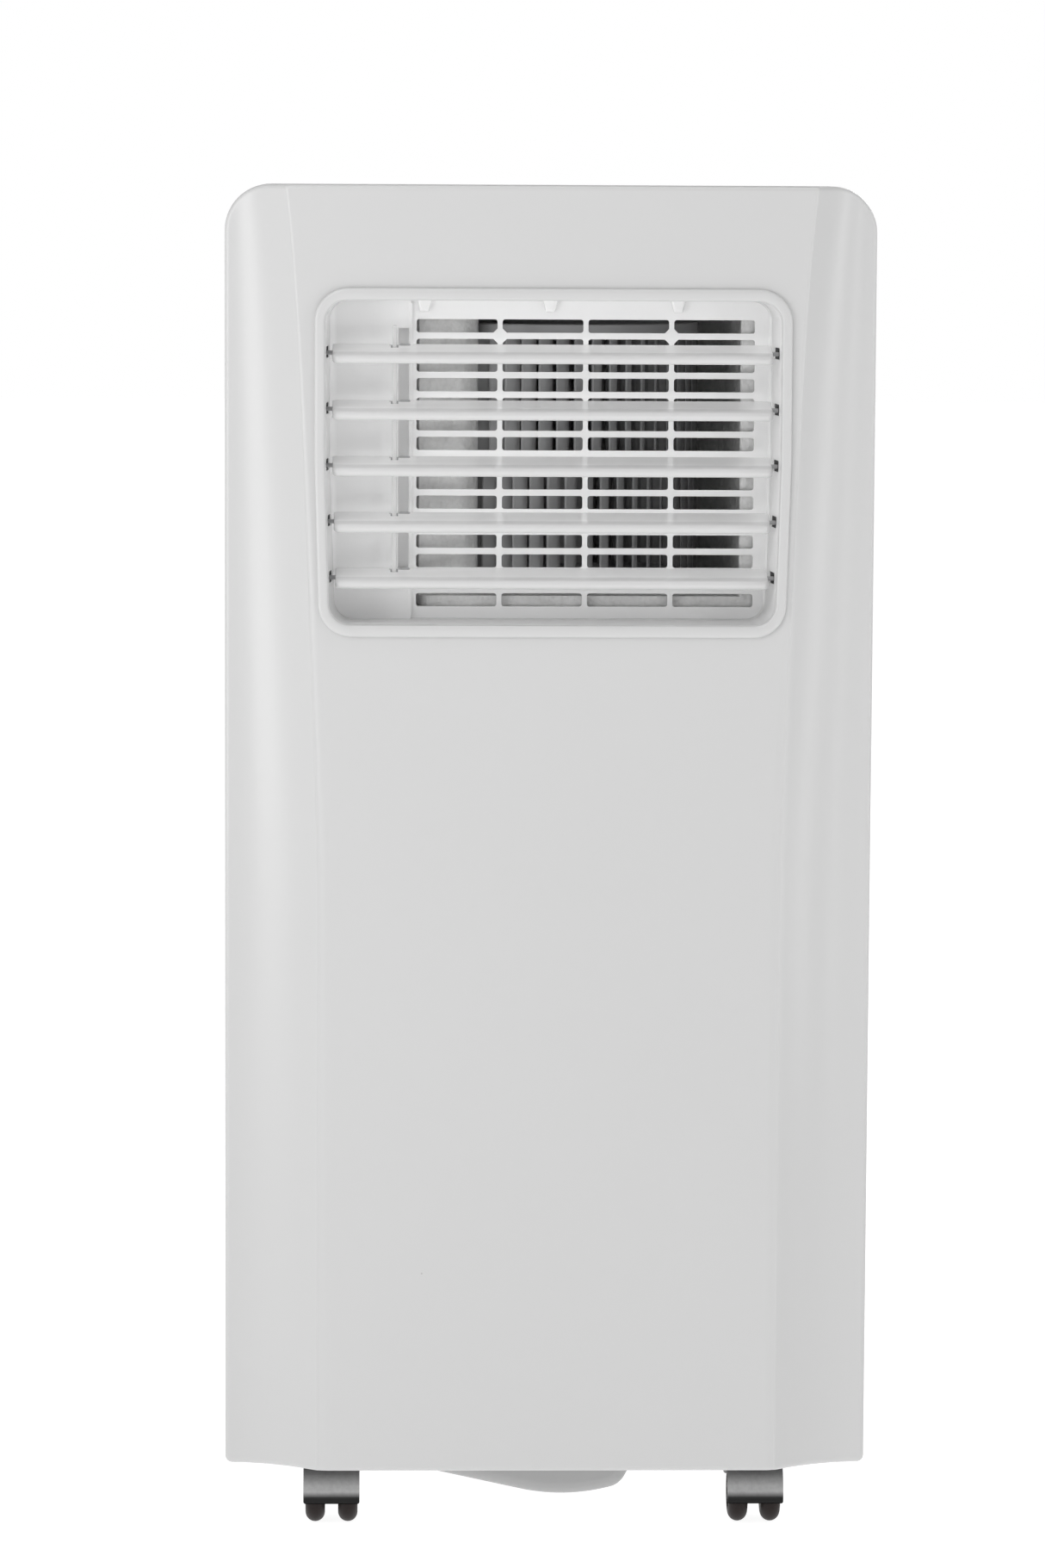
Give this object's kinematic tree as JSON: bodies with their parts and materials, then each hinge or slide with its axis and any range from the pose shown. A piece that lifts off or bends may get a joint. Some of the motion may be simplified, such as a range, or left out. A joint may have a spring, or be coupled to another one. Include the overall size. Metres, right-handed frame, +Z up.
{
  "type": "portable air conditioner",
  "caption": "Free-standing portable air conditioner with a louvred front outlet, rear exhaust collar, let-in grips and twin-wheel casters.",
  "frame": {"origin": "on the floor under the middle of the bounding box", "axes": "+Z up, front with the air outlet faces -Y, +X to the right seen from the front"},
  "size_m": [0.33, 0.298, 0.695],
  "materials": {
    "casing": "satin white moulded plastic",
    "gloss_white": "glossy white moulded plastic",
    "foam": "fine-beaded expanded foam",
    "dark_plastic": "dark grey moulded plastic",
    "fan_plastic": "grey moulded plastic",
    "black_gloss": "smoked black window",
    "key_plastic": "satin pale grey keys",
    "caster_hood": "satin dark grey hood",
    "wheel_plastic": "black-brown nylon",
    "steel": "zinc-plated sheet",
    "black_steel": "black painted steel",
    "fins": "fine aluminium fins",
    "copper": "bare copper tube",
    "board": "green circuit board",
    "rubber": "black rubber"
  },
  "bodies": {
    "casing": {"front_panel": "casing", "rear_housing": "casing", "top_cover": "casing", "base_pan": "casing", "outlet_frame": "gloss_white", "outlet_grille": "gloss_white", "evap_scroll": "foam", "evap_inlet_ring": "foam", "evap_motor": "steel", "cond_scroll": "casing", "cond_motor": "steel", "exhaust_duct": "casing", "exhaust_collar": "casing", "compressor": "black_steel", "accumulator": "black_steel", "condenser_coil": "fins", "evaporator_coil": "fins", "discharge_pipe": "copper", "suction_pipe": "copper", "liquid_line": "copper", "partition_deck": "casing", "control_box": "steel", "control_board": "board", "run_capacitor": "steel", "cord_gland": "rubber", "handle_left": "casing", "handle_right": "casing", "control_fascia": "gloss_white", "display_window": "black_gloss", "display_board": "board"},
    "louver_1": {"louver_1": "gloss_white"},
    "louver_2": {"louver_2": "gloss_white"},
    "louver_3": {"louver_3": "gloss_white"},
    "louver_4": {"louver_4": "gloss_white"},
    "louver_5": {"louver_5": "gloss_white"},
    "louver_link": {"louver_link": "gloss_white"},
    "evap_wheel": {"evap_wheel": "fan_plastic"},
    "cond_wheel": {"cond_wheel": "dark_plastic"},
    "power_button": {"power_button": "key_plastic"},
    "mode_button": {"mode_button": "key_plastic"},
    "timer_button": {"timer_button": "key_plastic"},
    "cooler_button": {"cooler_button": "key_plastic"},
    "warmer_button": {"warmer_button": "key_plastic"},
    "fan_speed_button": {"fan_speed_button": "key_plastic"},
    "filter_upper": {"filter_upper": "casing"},
    "filter_lower": {"filter_lower": "casing"},
    "drain_cap_upper": {"drain_cap_upper": "rubber"},
    "drain_cap_lower": {"drain_cap_lower": "rubber"},
    "caster_front_left": {"caster_front_left": "caster_hood"},
    "wheel_front_left_left": {"wheel_front_left_left": "wheel_plastic"},
    "wheel_front_left_right": {"wheel_front_left_right": "wheel_plastic"},
    "caster_front_right": {"caster_front_right": "caster_hood"},
    "wheel_front_right_left": {"wheel_front_right_left": "wheel_plastic"},
    "wheel_front_right_right": {"wheel_front_right_right": "wheel_plastic"},
    "caster_rear_left": {"caster_rear_left": "caster_hood"},
    "wheel_rear_left_left": {"wheel_rear_left_left": "wheel_plastic"},
    "wheel_rear_left_right": {"wheel_rear_left_right": "wheel_plastic"},
    "caster_rear_right": {"caster_rear_right": "caster_hood"},
    "wheel_rear_right_left": {"wheel_rear_right_left": "wheel_plastic"},
    "wheel_rear_right_right": {"wheel_rear_right_right": "wheel_plastic"}
  },
  "joints": [
    {"name": "louver_1_tilt", "type": "hinge", "parent": "casing", "child": "louver_1", "pos_m": [0, -0.1315, 0.6105], "axis": [1, 0, 0], "range_deg": [-45, 35]},
    {"name": "louver_2_tilt", "type": "hinge", "parent": "casing", "child": "louver_2", "pos_m": [0, -0.1315, 0.5821], "axis": [1, 0, 0], "range_deg": [-45, 35]},
    {"name": "louver_3_tilt", "type": "hinge", "parent": "casing", "child": "louver_3", "pos_m": [0, -0.1315, 0.5537], "axis": [1, 0, 0], "range_deg": [-45, 35]},
    {"name": "louver_4_tilt", "type": "hinge", "parent": "casing", "child": "louver_4", "pos_m": [0, -0.1315, 0.5253], "axis": [1, 0, 0], "range_deg": [-45, 35]},
    {"name": "louver_5_tilt", "type": "hinge", "parent": "casing", "child": "louver_5", "pos_m": [0, -0.1315, 0.4969], "axis": [1, 0, 0], "range_deg": [-45, 35]},
    {"name": "link_pivot", "type": "hinge", "parent": "louver_3", "child": "louver_link", "pos_m": [-0.079, -0.12244, 0.55579], "axis": [1, 0, 0], "range_deg": [-35, 45]},
    {"name": "evap_wheel_spin", "type": "hinge", "parent": "casing", "child": "evap_wheel", "pos_m": [0.01, -0.0265, 0.55], "axis": [0, 0, 1], "continuous": true},
    {"name": "cond_wheel_spin", "type": "hinge", "parent": "casing", "child": "cond_wheel", "pos_m": [0.0086, -0.06, 0.132], "axis": [0, 1, 0], "continuous": true},
    {"name": "power_press", "type": "slide", "parent": "casing", "child": "power_button", "axis": [0, 0, -1], "range_m": [0, 0.001], "stiffness_N_per_m": 600},
    {"name": "mode_press", "type": "slide", "parent": "casing", "child": "mode_button", "axis": [0, 0, -1], "range_m": [0, 0.001], "stiffness_N_per_m": 600},
    {"name": "timer_press", "type": "slide", "parent": "casing", "child": "timer_button", "axis": [0, 0, -1], "range_m": [0, 0.001], "stiffness_N_per_m": 600},
    {"name": "cooler_press", "type": "slide", "parent": "casing", "child": "cooler_button", "axis": [0, 0, -1], "range_m": [0, 0.001], "stiffness_N_per_m": 600},
    {"name": "warmer_press", "type": "slide", "parent": "casing", "child": "warmer_button", "axis": [0, 0, -1], "range_m": [0, 0.001], "stiffness_N_per_m": 600},
    {"name": "fan_speed_press", "type": "slide", "parent": "casing", "child": "fan_speed_button", "axis": [0, 0, -1], "range_m": [0, 0.001], "stiffness_N_per_m": 600},
    {"name": "filter_upper_pull", "type": "slide", "parent": "casing", "child": "filter_upper", "axis": [0, 1, 0], "range_m": [0, 0.06]},
    {"name": "filter_lower_pull", "type": "slide", "parent": "casing", "child": "filter_lower", "axis": [0, 1, 0], "range_m": [0, 0.06]},
    {"name": "drain_cap_upper_pull", "type": "slide", "parent": "casing", "child": "drain_cap_upper", "axis": [0, 1, 0], "range_m": [0, 0.02]},
    {"name": "drain_cap_lower_pull", "type": "slide", "parent": "casing", "child": "drain_cap_lower", "axis": [0, 1, 0], "range_m": [0, 0.02]},
    {"name": "caster_front_left_swivel", "type": "hinge", "parent": "casing", "child": "caster_front_left", "pos_m": [-0.1103, -0.1005, 0.04], "axis": [0, 0, 1], "continuous": true},
    {"name": "wheel_front_left_left_roll", "type": "hinge", "parent": "caster_front_left", "child": "wheel_front_left_left", "pos_m": [-0.1188, -0.0915, 0.0155], "axis": [1, 0, 0], "continuous": true},
    {"name": "wheel_front_left_right_roll", "type": "hinge", "parent": "caster_front_left", "child": "wheel_front_left_right", "pos_m": [-0.1018, -0.0915, 0.0155], "axis": [1, 0, 0], "continuous": true},
    {"name": "caster_front_right_swivel", "type": "hinge", "parent": "casing", "child": "caster_front_right", "pos_m": [0.1103, -0.1005, 0.04], "axis": [0, 0, 1], "continuous": true},
    {"name": "wheel_front_right_left_roll", "type": "hinge", "parent": "caster_front_right", "child": "wheel_front_right_left", "pos_m": [0.1018, -0.0915, 0.0155], "axis": [1, 0, 0], "continuous": true},
    {"name": "wheel_front_right_right_roll", "type": "hinge", "parent": "caster_front_right", "child": "wheel_front_right_right", "pos_m": [0.1188, -0.0915, 0.0155], "axis": [1, 0, 0], "continuous": true},
    {"name": "caster_rear_left_swivel", "type": "hinge", "parent": "casing", "child": "caster_rear_left", "pos_m": [-0.1103, 0.0845, 0.04], "axis": [0, 0, 1], "continuous": true},
    {"name": "wheel_rear_left_left_roll", "type": "hinge", "parent": "caster_rear_left", "child": "wheel_rear_left_left", "pos_m": [-0.1188, 0.0935, 0.0155], "axis": [1, 0, 0], "continuous": true},
    {"name": "wheel_rear_left_right_roll", "type": "hinge", "parent": "caster_rear_left", "child": "wheel_rear_left_right", "pos_m": [-0.1018, 0.0935, 0.0155], "axis": [1, 0, 0], "continuous": true},
    {"name": "caster_rear_right_swivel", "type": "hinge", "parent": "casing", "child": "caster_rear_right", "pos_m": [0.1103, 0.0845, 0.04], "axis": [0, 0, 1], "continuous": true},
    {"name": "wheel_rear_right_left_roll", "type": "hinge", "parent": "caster_rear_right", "child": "wheel_rear_right_left", "pos_m": [0.1018, 0.0935, 0.0155], "axis": [1, 0, 0], "continuous": true},
    {"name": "wheel_rear_right_right_roll", "type": "hinge", "parent": "caster_rear_right", "child": "wheel_rear_right_right", "pos_m": [0.1188, 0.0935, 0.0155], "axis": [1, 0, 0], "continuous": true}
  ],
  "couplings": [
    {"joint": "louver_1_tilt", "follows": "louver_3_tilt", "ratio": 1},
    {"joint": "louver_2_tilt", "follows": "louver_3_tilt", "ratio": 1},
    {"joint": "louver_4_tilt", "follows": "louver_3_tilt", "ratio": 1},
    {"joint": "louver_5_tilt", "follows": "louver_3_tilt", "ratio": 1},
    {"joint": "link_pivot", "follows": "louver_3_tilt", "ratio": -1}
  ]
}
